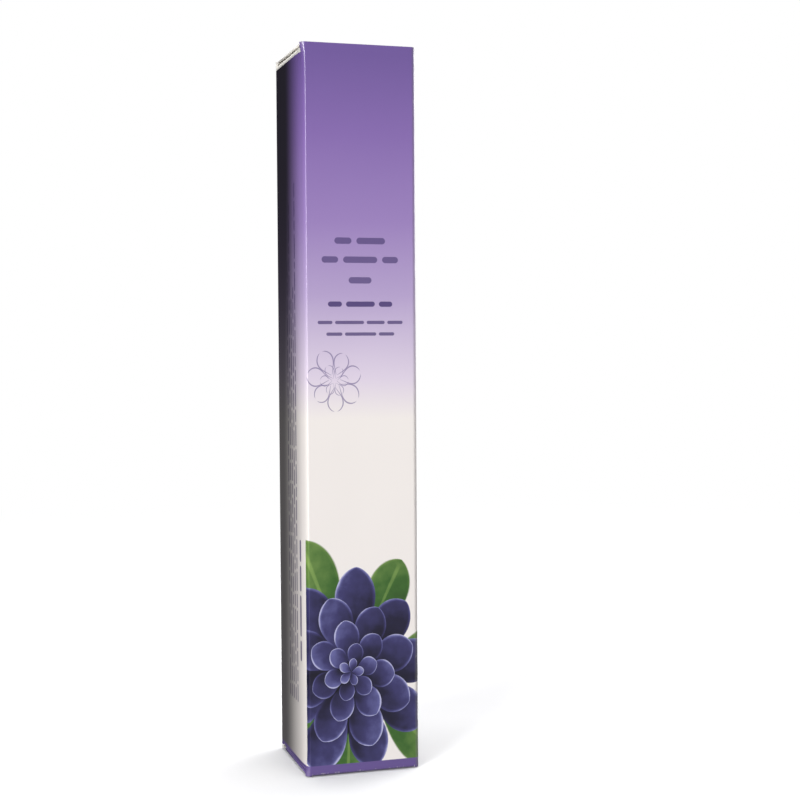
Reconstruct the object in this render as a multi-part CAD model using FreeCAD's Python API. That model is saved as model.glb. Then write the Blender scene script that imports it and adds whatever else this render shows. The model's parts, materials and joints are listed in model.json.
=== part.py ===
import FreeCAD, Part
import math
import os

# A twist-up nail oil pen standing in its reverse tuck folding carton.
# Millimetres. Origin under the middle of the carton, front face towards -Y, +Z up.
# The pen is drawn about its own axis from its own lower end, and is then set into the carton.

# Carton board and tube
carton_width = 21.4
carton_depth = 21.4
carton_height = 132.0
board = 0.4
crease_radius = 0.9         # outside radius of the four upright creases
fold_gap = 0.05             # from a fold line to the edge of the board on either side of it
glue_width = 8.0
glue_end_gap = 3.0          # from a side panel's fold line to the end of the glue flap
glue_taper = 2.0

# Carton lids and flaps, alike at both ends
lid_side_gap = 0.3          # lid edge to the outside of the side panel
lid_front_gap = 0.3         # lid fold to the inside of the panel that it tucks behind
lid_corner = 0.6            # length of the slope at each of the lid's notched corners
tuck_length = 9.5
tuck_shoulder = 0.3         # tuck flap edge inside the end of its fold
tuck_tilt = 17.0            # degrees that the tuck flap leans inwards when shut
tuck_corner_radius = 3.0
dust_drop = 0.5             # clear space between a lid and the dust flaps under it
dust_length = 8.5
dust_hinge_gap = 0.15       # dust flap edge from the upright crease on the lid's hinge side
dust_front_setback = 2.4    # dust flap edge from the outside of the panel on the tuck side
dust_front_taper = 1.8
dust_corner_radius = 1.2

# How the pen stands in the carton
pen_front_gap = 0.3         # pen to the inside of the front panel
pen_rest_gap = 0.05         # pen to the bottom dust flaps
headspace = 13.35           # cap to the underside of the top dust flaps

# Pen fits
pen_diameter = 12.0
fit_gap = 0.05              # radial gap between parts that are pressed together
run_gap = 0.05              # radial gap between parts that move on each other
edge_chamfer = 0.3

# Twist knob and ratchet
knob_length = 16.0
knob_gap = 0.2              # knob to barrel
knob_wall = 1.0
knob_floor = 2.4
knob_chamfer = 0.8
flute_count = 30
flute_radius = 0.5
flute_depth = 0.22
flute_margin = 2.6          # plain length of knob at each end of the flutes
ratchet_inset = 0.2         # ratchet ring from the lower end of the barrel
ratchet_height = 5.4
ratchet_wall = 0.4
ratchet_teeth = 24
tooth_depth = 0.35
tooth_rise = 0.85           # share of a tooth's pitch that its slope takes
pawl_count = 3
pawl_height = 0.35
pawl_angle = 9.0            # degrees that a pawl takes round the neck
pawl_margin = 1.2           # pawl from each end of the ratchet ring
snap_gap = 0.1              # snap flange to the ratchet ring below and the nut above, at least
snap_height = 1.0
snap_reach = 0.3            # snap flange beyond the tooth crests

# Screw feed
thread_lead = 4.0
thread_starts = 2
thread_diameter = 5.0
thread_depth = 0.5
thread_land = 0.22          # share of a thread's pitch that its crest takes
thread_flank = 0.14         # share of a thread's pitch that each flank takes
thread_gap = 0.08           # radial gap between the rod and the nut
land_gap = 0.06             # the nut's wider crest, as a share of a thread's pitch
rod_gap = 0.2               # rod to the knob floor when wound down
rod_clearance = 0.3         # rod crest to the knob's bore
spindle_width = 2.0
spindle_gap = 0.1           # spindle face to the rod's square hole
spindle_socket = 1.2        # depth of the spindle in the knob floor
spindle_end = 1.2           # spindle tip below the upper end of the thread
hole_end_gap = 0.4
nut_lead_in = 0.4           # rod left below the nut at full stroke
nut_height = 4.0
thread_end = 1.0            # thread above the nut when wound down
journal_diameter = 3.2
journal_length = 2.5
head_diameter = 4.2
head_height = 1.0
head_gap = 0.1              # rod head to the piston's pocket, endways

# Piston and reservoir
piston_gap = 0.2            # piston above the thread
piston_length = 7.0
piston_waist = 0.5          # depth of the waist between the two sealing lips
lip_height = 1.6
piston_end_gap = 0.8        # piston to the plug at full stroke
barrel_wall = 0.6
reservoir_wall = 0.55

# Collar, trim ring and brush
plug_length = 4.0
flange_height = 2.0
trim_height = 1.5
trim_step = 0.5             # trim ring's seat outside the neck
neck_length = 9.5
bead_height = 0.15
bead_length = 0.8
bead_drop = 2.0             # bead below the upper end of the neck
cone_length = 5.0
cone_tip_wall = 0.55
o_ring_section = 1.0
seal_gap = 0.02
groove_gap = 0.1            # O-ring to each side of its groove
ferrule_diameter = 4.6
ferrule_wall = 0.35
ferrule_length = 10.0
ferrule_depth = 4.0         # ferrule in the collar
brush_root = 1.0            # brush above the lower end of the ferrule
brush_diameter = 4.4
brush_reach = 14.0          # brush above the ferrule
brush_belly_rise = 3.5      # widest place above the ferrule
brush_point = 3.0           # length from the tip to where the brush is half as wide
tube_diameter = 1.6
tube_bore = 0.8
tube_reach = 2.0            # feed tube above the ferrule

# Cap
cap_gap = 0.2               # cap mouth to the trim ring
cap_wall = 0.9
cap_top_wall = 1.0
cap_tip_room = 9.0          # free height over the brush tip
dome_height = 3.5
liner_wall = 0.45
liner_inset = 0.5           # liner from the cap mouth
liner_lip_rise = 2.0        # sealing lip above the neck
liner_lip_height = 0.5

# How the pen's length follows from the carton's
flap_level = board + dust_drop
pen_bottom = flap_level + board + pen_rest_gap
pen_length = carton_height - pen_bottom - headspace - board - flap_level
feed_length = nut_height + thread_end + piston_gap + piston_length
collar_length = piston_end_gap + plug_length + flange_height + trim_height + neck_length + cone_length
brush_length = ferrule_length - ferrule_depth + brush_reach + cap_tip_room + cap_top_wall
free_length = pen_length - feed_length - collar_length - brush_length

# Heights along the pen, from its lower end
barrel_bottom = knob_length + knob_gap
ratchet_bottom = barrel_bottom + ratchet_inset
ratchet_top = ratchet_bottom + ratchet_height
snap_bottom = ratchet_top + snap_gap
snap_top = snap_bottom + snap_height
rod_bottom = knob_floor + rod_gap

# The piston's stroke, which the free length takes twice: once below the nut and once above the piston.
# The nut also stays clear of the snap flange below it.
nut_floor = snap_top + snap_gap
stroke = min((free_length - rod_bottom - nut_lead_in) / 2, free_length - nut_floor)
nut_bottom = free_length - stroke
nut_top = nut_bottom + nut_height
thread_top = nut_top + thread_end
spindle_bottom = knob_floor - spindle_socket
spindle_top = thread_top - spindle_end
piston_bottom = thread_top + piston_gap
piston_top = piston_bottom + piston_length
plug_bottom = piston_top + stroke + piston_end_gap
reservoir_top = plug_bottom + plug_length
barrel_top = reservoir_top + flange_height
trim_top = barrel_top + trim_height
neck_top = trim_top + neck_length
cone_top = neck_top + cone_length
ferrule_bottom = cone_top - ferrule_depth
ferrule_top = ferrule_bottom + ferrule_length
brush_bottom = ferrule_bottom + brush_root
brush_tip = ferrule_top + brush_reach
tube_top = ferrule_top + tube_reach
cap_mouth = trim_top + cap_gap
cap_ceiling = brush_tip + cap_tip_room

# Radii across the pen, from the outside in
pen_radius = pen_diameter / 2
barrel_bore = pen_radius - barrel_wall
insert_radius = barrel_bore - fit_gap
reservoir_bore = insert_radius - reservoir_wall
tooth_root = insert_radius - ratchet_wall
tooth_crest = tooth_root - tooth_depth
pawl_tip = tooth_crest - run_gap
knob_neck = pawl_tip - pawl_height
snap_radius = tooth_crest + snap_reach
thread_crest = thread_diameter / 2
thread_root = thread_crest - thread_depth
knob_bore = thread_crest + rod_clearance
plug_radius = reservoir_bore - fit_gap
lip_radius = reservoir_bore - run_gap
cap_bore = pen_radius - cap_wall
liner_radius = cap_bore - fit_gap
liner_bore = liner_radius - liner_wall
neck_radius = liner_bore - run_gap - bead_height
trim_seat = neck_radius + trim_step
ferrule_radius = ferrule_diameter / 2
ferrule_seat = ferrule_radius + fit_gap
cone_tip = ferrule_seat + cone_tip_wall
brush_grip = ferrule_radius - ferrule_wall - fit_gap
tube_radius = tube_diameter / 2
tube_seat = tube_radius + fit_gap

# Places in the carton
half_width = carton_width / 2
half_depth = carton_depth / 2
pen_axis_y = -half_depth + board + pen_front_gap + pen_radius
fold_half = half_width - crease_radius - fold_gap
lid_depth = carton_depth - board - lid_front_gap
tuck_fold_angle = 90.0 - tuck_tilt
SQUARE_FOLD = 90.0

X_AXIS = FreeCAD.Vector(1, 0, 0)
Z_AXIS = FreeCAD.Vector(0, 0, 1)
ORIGIN = FreeCAD.Vector(0, 0, 0)


def point(x, y, z=0.0):
    return FreeCAD.Vector(x, y, z)


def polar(radius, angle, z=0.0):
    return point(radius * math.cos(angle), radius * math.sin(angle), z)


def line(start, end):
    return Part.LineSegment(start, end).toShape()


def arc(start, middle, end):
    return Part.Arc(start, middle, end).toShape()


def rounded_outline(corners):
    """A closed outline through (x, y, radius) corners, each rounded by an arc of its radius."""
    starts = []
    ends = []
    middles = []
    for index, (x, y, radius) in enumerate(corners):
        before = corners[index - 1]
        after = corners[(index + 1) % len(corners)]
        corner = point(x, y)
        to_before = (point(before[0], before[1]) - corner).normalize()
        to_after = (point(after[0], after[1]) - corner).normalize()
        half_angle = to_before.getAngle(to_after) / 2
        reach = radius / math.tan(half_angle)
        inwards = (to_before + to_after).normalize()
        starts.append(corner + to_before * reach)
        ends.append(corner + to_after * reach)
        middles.append(corner + inwards * (radius / math.sin(half_angle) - radius))
    edges = []
    for index, (_, _, radius) in enumerate(corners):
        if radius > 0:
            edges.append(arc(starts[index], middles[index], ends[index]))
        edges.append(line(ends[index], starts[(index + 1) % len(corners)]))
    return Part.Wire(edges)


def prism(points, travel):
    """A straight prism on a closed outline of straight sides."""
    return Part.Face(Part.makePolygon(points + points[:1])).extrude(travel)


def turned(profile):
    """A solid of revolution about the pen's axis from (radius, height) points."""
    points = [point(radius, 0, height) for radius, height in profile]
    return Part.Face(Part.makePolygon(points + points[:1])).revolve(ORIGIN, Z_AXIS, 360)


def setback(fold_angle):
    """How far the inner edge of the board stands back from a fold that closes to this angle."""
    return board / math.tan(math.radians(fold_angle) / 2)


def bevelled_flap(corners, length, near_angle, far_angle=None):
    """A flap of board with its outside up, its fold along X and its body towards +Y.

    The fold's edge is cut back so that the flap can swing, and so is the far edge where
    another flap folds from it.
    """
    plate = Part.Face(rounded_outline(corners)).extrude(point(0, 0, -board))
    side = [point(0, fold_gap, 0), point(0, fold_gap + setback(near_angle), -board)]
    if far_angle is None:
        side += [point(0, length, -board), point(0, length, 0)]
    else:
        side += [point(0, length - fold_gap - setback(far_angle), -board), point(0, length - fold_gap, 0)]
    reach = max(abs(x) for x, _, _ in corners)
    bevel = prism([place + point(-reach, 0, 0) for place in side], point(2 * reach, 0, 0))
    return plate.common(bevel)


def placed(shape, origin, along_fold, along_flap):
    """The shape with its local X and Y turned to the given directions and moved to origin."""
    rotation = FreeCAD.Rotation(along_fold, along_flap, along_fold.cross(along_flap), "XYZ")
    copy = shape.copy()
    copy.Placement = FreeCAD.Placement(origin, rotation)
    return copy


def other_end(shape):
    """The same shape at the carton's lower end: half a turn about a level line through its middle."""
    copy = shape.copy()
    copy.rotate(point(0, 0, carton_height / 2), X_AXIS, 180)
    return copy


def other_side(shape):
    return shape.mirror(ORIGIN, X_AXIS)


# Carton

def front_panel():
    """The front with its two upright creases, cut back at the fold of the bottom lid."""
    inner_radius = crease_radius - board
    centre_x = half_width - crease_radius
    centre_y = -half_depth + crease_radius
    left = point(-centre_x, centre_y)
    right = point(centre_x, centre_y)
    half_turn = math.pi
    diagonal = math.pi / 4

    def crease(centre, radius, start, middle, end):
        return arc(centre + polar(radius, start), centre + polar(radius, middle), centre + polar(radius, end))

    def level(radius):
        return line(left + point(0, -radius), right + point(0, -radius))

    edges = [
        crease(left, crease_radius, half_turn, half_turn + diagonal, half_turn + 2 * diagonal),
        level(crease_radius),
        crease(right, crease_radius, -2 * diagonal, -diagonal, 0),
        line(right + point(crease_radius, 0), right + point(inner_radius, 0)),
        crease(right, inner_radius, 0, -diagonal, -2 * diagonal),
        level(inner_radius),
        crease(left, inner_radius, half_turn + 2 * diagonal, half_turn + diagonal, half_turn),
        line(left + point(-inner_radius, 0), left + point(-crease_radius, 0)),
    ]
    section = Part.Wire(Part.__sortEdges__(edges))
    panel = Part.Face(section).extrude(point(0, 0, carton_height))
    outside = -half_depth
    bevel = [
        point(-fold_half - fold_gap, outside - board, fold_gap - board),
        point(-fold_half - fold_gap, outside + 2 * board, fold_gap + 2 * board),
        point(-fold_half - fold_gap, outside + 2 * board, fold_gap - board),
    ]
    return panel.cut(prism(bevel, point(2 * (fold_half + fold_gap), 0, 0)))


def left_panel():
    """The flat left side between the creases, cut back at the folds of its two dust flaps."""
    low = flap_level + fold_gap
    high = carton_height - flap_level - fold_gap
    back_y = half_depth - crease_radius
    edge = setback(SQUARE_FOLD)
    section = [
        point(-half_width, -back_y, low),
        point(-half_width, -back_y, high),
        point(-half_width + board, -back_y, high - edge),
        point(-half_width + board, -back_y, low + edge),
    ]
    return prism(section, point(0, 2 * back_y, 0))


def glue_flap():
    """The seam strip inside the right panel, from the crease beside the back panel."""
    inside = half_width - board
    seam_y = half_depth - crease_radius
    low = flap_level + glue_end_gap
    high = carton_height - low
    outline = [
        point(inside, seam_y, low),
        point(inside, seam_y, high),
        point(inside, seam_y - glue_width, high - glue_taper),
        point(inside, seam_y - glue_width, low + glue_taper),
    ]
    return prism(outline, point(-board, 0, 0))


def top_lid():
    """The lid, notched at its corners to pass the upright creases."""
    lid_half = half_width - lid_side_gap
    notch = crease_radius
    corners = [
        (-fold_half, 0, 0),
        (fold_half, 0, 0),
        (fold_half, notch, 0),
        (lid_half, notch + lid_corner, 0),
        (lid_half, lid_depth - notch - lid_corner, 0),
        (fold_half, lid_depth - notch, 0),
        (fold_half, lid_depth, 0),
        (-fold_half, lid_depth, 0),
        (-fold_half, lid_depth - notch, 0),
        (-lid_half, lid_depth - notch - lid_corner, 0),
        (-lid_half, notch + lid_corner, 0),
        (-fold_half, notch, 0),
    ]
    lid = bevelled_flap(corners, lid_depth, SQUARE_FOLD, tuck_fold_angle)
    return placed(lid, point(0, half_depth, carton_height), point(-1, 0, 0), point(0, -1, 0))


def top_tuck_flap():
    tuck_half = fold_half - tuck_shoulder
    corners = [
        (-tuck_half, 0, 0),
        (tuck_half, 0, 0),
        (tuck_half, tuck_length, tuck_corner_radius),
        (-tuck_half, tuck_length, tuck_corner_radius),
    ]
    flap = bevelled_flap(corners, tuck_length, tuck_fold_angle)
    tilt = math.radians(tuck_tilt)
    fold = point(0, half_depth - lid_depth, carton_height)
    return placed(flap, fold, point(-1, 0, 0), point(0, math.sin(tilt), -math.cos(tilt)))


def top_dust_flap_left():
    """A dust flap whose edge on the lid's hinge side slopes so that lid and flap can swing together."""
    hinge_end = -half_depth + crease_radius + dust_hinge_gap
    tuck_end = half_depth - dust_front_setback
    corners = [
        (hinge_end, 0, 0),
        (tuck_end, 0, 0),
        (tuck_end - dust_front_taper, dust_length, dust_corner_radius),
        (hinge_end + dust_length, dust_length, dust_corner_radius),
    ]
    flap = bevelled_flap(corners, dust_length, SQUARE_FOLD)
    return placed(flap, point(-half_width, 0, carton_height - flap_level), point(0, -1, 0), X_AXIS)


# Pen

def square_bar(width, bottom, top):
    return Part.makeBox(width, width, top - bottom, point(-width / 2, -width / 2, bottom))


def twist_knob():
    """The tail cup with its driving neck, snap flange, pawls, spindle socket and grip flutes."""
    cup_bore = pen_radius - knob_wall
    body = turned([
        (0, 0),
        (pen_radius - knob_chamfer, 0),
        (pen_radius, knob_chamfer),
        (pen_radius, knob_length - edge_chamfer),
        (pen_radius - edge_chamfer, knob_length),
        (cup_bore, knob_length),
        (cup_bore, knob_floor),
        (knob_neck, knob_floor),
        (knob_neck, snap_bottom),
        (snap_radius, snap_bottom),
        (knob_bore, snap_top),
        (knob_bore, knob_floor),
        (0, knob_floor),
    ])
    pawl_bottom = ratchet_bottom + pawl_margin
    pawl_top = ratchet_top - pawl_margin
    for index in range(pawl_count):
        turn = 2 * math.pi * index / pawl_count
        slope = math.radians(pawl_angle)
        outline = [
            polar(knob_bore, turn, pawl_bottom),
            polar(knob_bore, turn + slope, pawl_bottom),
            polar(pawl_tip, turn + slope, pawl_bottom),
            polar(knob_neck, turn, pawl_bottom),
        ]
        pawl = prism(outline, point(0, 0, pawl_top - pawl_bottom))
        body = body.fuse(pawl.cut(Part.makeCylinder(knob_bore, pen_length)))
    flutes = []
    for index in range(flute_count):
        turn = 2 * math.pi * index / flute_count
        centre = polar(pen_radius - flute_depth + flute_radius, turn, flute_margin)
        flutes.append(Part.makeCylinder(flute_radius, knob_length - 2 * flute_margin, centre))
    socket = square_bar(spindle_width + 2 * fit_gap, spindle_bottom, knob_floor)
    return body.cut(Part.makeCompound(flutes + [socket]))


def drive_spindle():
    return square_bar(spindle_width, spindle_bottom, spindle_top)


def ratchet_ring():
    """A ring with saw teeth inside."""
    pitch = 2 * math.pi / ratchet_teeth
    teeth = []
    for index in range(ratchet_teeth):
        teeth.append(polar(tooth_root, index * pitch, ratchet_bottom))
        teeth.append(polar(tooth_crest, (index + tooth_rise) * pitch, ratchet_bottom))
    ring = Part.makeCylinder(insert_radius, ratchet_height, point(0, 0, ratchet_bottom))
    return ring.cut(prism(teeth, point(0, 0, ratchet_height)))


def twisted_thread(root, crest, land, height):
    """A multi-start right-hand thread of the given height, standing on z = 0."""
    pitch = 2 * math.pi / thread_starts
    half_land = pitch * land / 2
    flank = pitch * thread_flank
    edges = []
    for index in range(thread_starts):
        middle = index * pitch
        crest_end = middle + half_land
        root_start = crest_end + flank
        root_end = middle + pitch - half_land - flank
        next_crest = middle + pitch - half_land
        edges.append(arc(polar(crest, middle - half_land), polar(crest, middle), polar(crest, crest_end)))
        edges.append(line(polar(crest, crest_end), polar(root, root_start)))
        root_middle = (root_start + root_end) / 2
        edges.append(arc(polar(root, root_start), polar(root, root_middle), polar(root, root_end)))
        edges.append(line(polar(root, root_end), polar(crest, next_crest)))
    sweep = Part.BRepOffsetAPI.MakePipeShell(Part.Wire([line(ORIGIN, point(0, 0, height))]))
    sweep.setAuxiliarySpine(Part.Wire(Part.makeHelix(thread_lead, height, crest).Edges), True, 0)
    sweep.add(Part.Wire(edges), False, False)
    sweep.build()
    sweep.makeSolid()
    return sweep.shape()


def turned_about_axis(shape, height):
    """The thread lifted to a height, turned so that threads at all heights run into each other."""
    copy = shape.copy()
    copy.rotate(ORIGIN, Z_AXIS, 360 * height / thread_lead)
    copy.translate(point(0, 0, height))
    return copy


def nut_insert():
    body = Part.makeCylinder(insert_radius, nut_height, point(0, 0, nut_bottom))
    tap_land = thread_land + land_gap
    tap = twisted_thread(thread_root + thread_gap, thread_crest + thread_gap, tap_land, nut_height)
    return body.cut(turned_about_axis(tap, nut_bottom))


def screw_rod():
    """The threaded rod with its square driving hole, and the journal and head that the piston holds."""
    thread = twisted_thread(thread_root, thread_crest, thread_land, thread_top - rod_bottom)
    rod = turned_about_axis(thread, rod_bottom)
    hole_top = spindle_top + hole_end_gap
    rod = rod.cut(square_bar(spindle_width + 2 * spindle_gap, rod_bottom - rod_gap, hole_top))
    journal_top = piston_bottom + journal_length
    tip = turned([
        (0, hole_top + fit_gap),
        (journal_diameter / 2, hole_top + fit_gap),
        (journal_diameter / 2, journal_top),
        (head_diameter / 2, journal_top),
        (head_diameter / 2, journal_top + head_height),
        (0, journal_top + head_height),
    ])
    return rod.fuse(tip)


def piston():
    """A double-lipped piston with an undercut pocket for the head of the rod."""
    waist = lip_radius - piston_waist
    pocket_bottom = piston_bottom + journal_length - head_gap
    pocket_top = pocket_bottom + head_height + 2 * head_gap
    journal_bore = journal_diameter / 2 + run_gap
    pocket_bore = head_diameter / 2 + run_gap
    return turned([
        (journal_bore, piston_bottom),
        (lip_radius, piston_bottom),
        (lip_radius, piston_bottom + lip_height),
        (waist, piston_bottom + lip_height + piston_waist),
        (waist, piston_top - lip_height - piston_waist),
        (lip_radius, piston_top - lip_height),
        (lip_radius, piston_top),
        (0, piston_top),
        (0, pocket_top),
        (pocket_bore, pocket_top),
        (pocket_bore, pocket_bottom),
        (journal_bore, pocket_bottom),
    ])


def tube(inner, outer, bottom, top):
    return turned([(inner, bottom), (outer, bottom), (outer, top), (inner, top)])


def reservoir_tube():
    return tube(reservoir_bore, insert_radius, nut_top, reservoir_top)


def outer_barrel():
    return turned([
        (barrel_bore, barrel_bottom),
        (pen_radius - edge_chamfer, barrel_bottom),
        (pen_radius, barrel_bottom + edge_chamfer),
        (pen_radius, barrel_top),
        (barrel_bore, barrel_top),
    ])


def trim_ring():
    return turned([
        (trim_seat + fit_gap, barrel_top),
        (pen_radius, barrel_top),
        (pen_radius, trim_top - edge_chamfer),
        (pen_radius - edge_chamfer, trim_top),
        (trim_seat + fit_gap, trim_top),
    ])


def o_ring_radius():
    """The radius of the middle of the O-ring's section."""
    return reservoir_bore - seal_gap - o_ring_section / 2


def front_collar():
    """Plug, flange, trim seat, neck with its snap bead, and the cone that holds the ferrule."""
    groove_floor = o_ring_radius() - o_ring_section / 2 - seal_gap
    groove_middle = plug_bottom + plug_length / 2
    groove_half = o_ring_section / 2 + groove_gap
    bead_middle = neck_top - bead_drop
    return turned([
        (tube_seat, plug_bottom),
        (plug_radius - edge_chamfer, plug_bottom),
        (plug_radius, plug_bottom + edge_chamfer),
        (plug_radius, groove_middle - groove_half),
        (groove_floor, groove_middle - groove_half),
        (groove_floor, groove_middle + groove_half),
        (plug_radius, groove_middle + groove_half),
        (plug_radius, reservoir_top),
        (insert_radius, reservoir_top),
        (insert_radius, barrel_top),
        (trim_seat, barrel_top),
        (trim_seat, trim_top),
        (neck_radius, trim_top),
        (neck_radius, bead_middle - bead_length / 2),
        (neck_radius + bead_height, bead_middle),
        (neck_radius, bead_middle + bead_length / 2),
        (neck_radius, neck_top),
        (cone_tip, cone_top),
        (ferrule_seat, cone_top),
        (ferrule_seat, ferrule_bottom),
        (tube_seat, ferrule_bottom),
    ])


def collar_o_ring():
    return Part.makeTorus(o_ring_radius(), o_ring_section / 2, point(0, 0, plug_bottom + plug_length / 2))


def feed_tube():
    return tube(tube_bore / 2, tube_radius, plug_bottom, tube_top)


def brush_ferrule():
    return tube(ferrule_radius - ferrule_wall, ferrule_radius, ferrule_bottom, ferrule_top)


def brush():
    """The bundle of bristles as one bellied, pointed solid round the feed tube."""
    belly = brush_diameter / 2
    hole_top = tube_top + hole_end_gap
    side = Part.BSplineCurve()
    side.interpolate([
        point(brush_grip, 0, ferrule_top),
        point(belly, 0, ferrule_top + brush_belly_rise),
        point(belly / 2, 0, brush_tip - brush_point),
        point(0, 0, brush_tip),
    ])
    edges = [
        line(point(tube_seat, 0, brush_bottom), point(brush_grip, 0, brush_bottom)),
        line(point(brush_grip, 0, brush_bottom), point(brush_grip, 0, ferrule_top)),
        side.toShape(),
        line(point(0, 0, brush_tip), point(0, 0, hole_top)),
        line(point(0, 0, hole_top), point(tube_seat, 0, hole_top)),
        line(point(tube_seat, 0, hole_top), point(tube_seat, 0, brush_bottom)),
    ]
    return Part.Face(Part.Wire(edges)).revolve(ORIGIN, Z_AXIS, 360)


def cap():
    """A round cap with a domed end."""
    def dome(radius, top, rise):
        """The arc from the side to the middle of a dome of this rise."""
        sphere = (radius * radius + rise * rise) / (2 * rise)
        half_angle = math.asin(radius / sphere) / 2
        centre = top - sphere
        middle = point(sphere * math.sin(half_angle), 0, centre + sphere * math.cos(half_angle))
        return arc(point(radius, 0, top - rise), middle, point(0, 0, top))

    inner_rise = dome_height * cap_bore / pen_radius
    edges = [
        line(point(cap_bore, 0, cap_mouth), point(pen_radius, 0, cap_mouth)),
        line(point(pen_radius, 0, cap_mouth), point(pen_radius, 0, pen_length - dome_height)),
        dome(pen_radius, pen_length, dome_height),
        line(point(0, 0, pen_length), point(0, 0, cap_ceiling)),
        dome(cap_bore, cap_ceiling, inner_rise),
        line(point(cap_bore, 0, cap_ceiling - inner_rise), point(cap_bore, 0, cap_mouth)),
    ]
    return Part.Face(Part.Wire(Part.__sortEdges__(edges))).revolve(ORIGIN, Z_AXIS, 360)


def cap_liner():
    """The sealing sleeve, whose lip closes on the collar's cone."""
    lip_bottom = neck_top + liner_lip_rise
    lip_top = lip_bottom + liner_lip_height
    cone_slope = (neck_radius - cone_tip) / cone_length
    lip_bore = neck_radius - cone_slope * liner_lip_rise + run_gap
    return turned([
        (liner_bore, cap_mouth + liner_inset),
        (liner_radius, cap_mouth + liner_inset),
        (liner_radius, lip_top),
        (lip_bore, lip_top),
        (lip_bore, lip_bottom),
        (liner_bore, lip_bottom),
    ])


def carton_pieces():
    front = front_panel()
    left = left_panel()
    lid = top_lid()
    tuck = top_tuck_flap()
    dust_left = top_dust_flap_left()
    dust_right = other_side(dust_left)
    return {
        "front_panel": front,
        "back_panel": other_end(front),
        "left_panel": left,
        "right_panel": other_side(left),
        "glue_flap": glue_flap(),
        "top_lid": lid,
        "top_tuck_flap": tuck,
        "top_dust_flap_left": dust_left,
        "top_dust_flap_right": dust_right,
        "bottom_lid": other_end(lid),
        "bottom_tuck_flap": other_end(tuck),
        "bottom_dust_flap_left": other_end(dust_left),
        "bottom_dust_flap_right": other_end(dust_right),
    }


def pen_pieces():
    makers = [
        twist_knob, drive_spindle, ratchet_ring, nut_insert, screw_rod, piston, reservoir_tube, outer_barrel,
        trim_ring, front_collar, collar_o_ring, feed_tube, brush_ferrule, brush, cap, cap_liner,
    ]
    pieces = {}
    for maker in makers:
        shape = maker()
        shape.translate(point(0, pen_axis_y, pen_bottom))
        pieces[maker.__name__] = shape
    return pieces


os.makedirs("parts", exist_ok=True)
for name, shape in {**carton_pieces(), **pen_pieces()}.items():
    shape.exportStep("parts/" + name + ".step")
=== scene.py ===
import json
import math
import random
import bmesh
import bpy
from mathutils import Matrix, Vector, noise


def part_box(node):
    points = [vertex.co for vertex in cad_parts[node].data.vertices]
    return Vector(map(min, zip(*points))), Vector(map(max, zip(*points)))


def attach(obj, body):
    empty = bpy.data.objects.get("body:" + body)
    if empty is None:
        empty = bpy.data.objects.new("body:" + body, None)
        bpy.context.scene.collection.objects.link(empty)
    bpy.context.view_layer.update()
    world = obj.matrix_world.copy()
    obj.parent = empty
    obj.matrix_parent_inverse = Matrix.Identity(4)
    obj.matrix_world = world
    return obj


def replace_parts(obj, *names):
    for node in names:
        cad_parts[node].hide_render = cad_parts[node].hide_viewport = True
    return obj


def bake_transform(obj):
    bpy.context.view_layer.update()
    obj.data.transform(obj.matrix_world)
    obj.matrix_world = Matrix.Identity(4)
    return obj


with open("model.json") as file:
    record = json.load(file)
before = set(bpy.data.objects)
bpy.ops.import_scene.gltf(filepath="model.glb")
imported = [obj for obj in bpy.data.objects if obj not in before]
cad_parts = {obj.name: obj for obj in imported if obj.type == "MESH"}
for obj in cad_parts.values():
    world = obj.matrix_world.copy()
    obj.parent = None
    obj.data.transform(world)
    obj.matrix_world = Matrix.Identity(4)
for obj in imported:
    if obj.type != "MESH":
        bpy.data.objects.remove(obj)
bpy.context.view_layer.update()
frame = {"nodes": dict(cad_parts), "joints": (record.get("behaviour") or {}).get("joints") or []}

# A slim printed folding carton with a twist-up oil pen standing in it.
# Lengths are millimetres until a mesh is made, and come from the frame where it holds them.
MM = 0.001


def box_mm(node):
    low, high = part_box(node)
    return low / MM, high / MM


front_low, front_high = box_mm("front_panel")
left_low, left_high = box_mm("left_panel")
dust_low, dust_high = box_mm("top_dust_flap_left")
tuck_half = box_mm("top_tuck_flap")[1].x
half_width = front_high.x
half_depth = -front_low.y
height = front_high.z
board = left_high.x - left_low.x
crease_radius = front_high.y - front_low.y
folds = {joint["name"]: Vector(joint["pos_m"]) / MM for joint in frame["joints"] if "pos_m" in joint}

# Folds: the board on each side stops short of a fold line, and a thin bent skin joins the two
FOLD_CLEAR = 0.05
FOLD_INSET = crease_radius + FOLD_CLEAR    # lid fold's end from the side of the carton
TUCK_TILT = math.radians(17.0)             # how far a shut tuck flap leans inwards
SKIN = 0.12
SKIN_END_GAP = 0.06
SKIN_COLUMNS = 24
SKIN_ROWS = 8

# The photograph's camera, fitted to the carton's corners
CAMERA_PLACE = (-71.33, -271.64, 78.48)
CAMERA_YAW = math.radians(16.784)
CAMERA_PITCH = math.radians(-2.215)
CAMERA_ROLL = math.radians(-0.342)
FOCAL_PIXELS = 1493.7
FRAME_PIXELS = 800
SENSOR = 36.0
CLIP = (0.01, 30.0)


# Shader values in plain arithmetic


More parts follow.
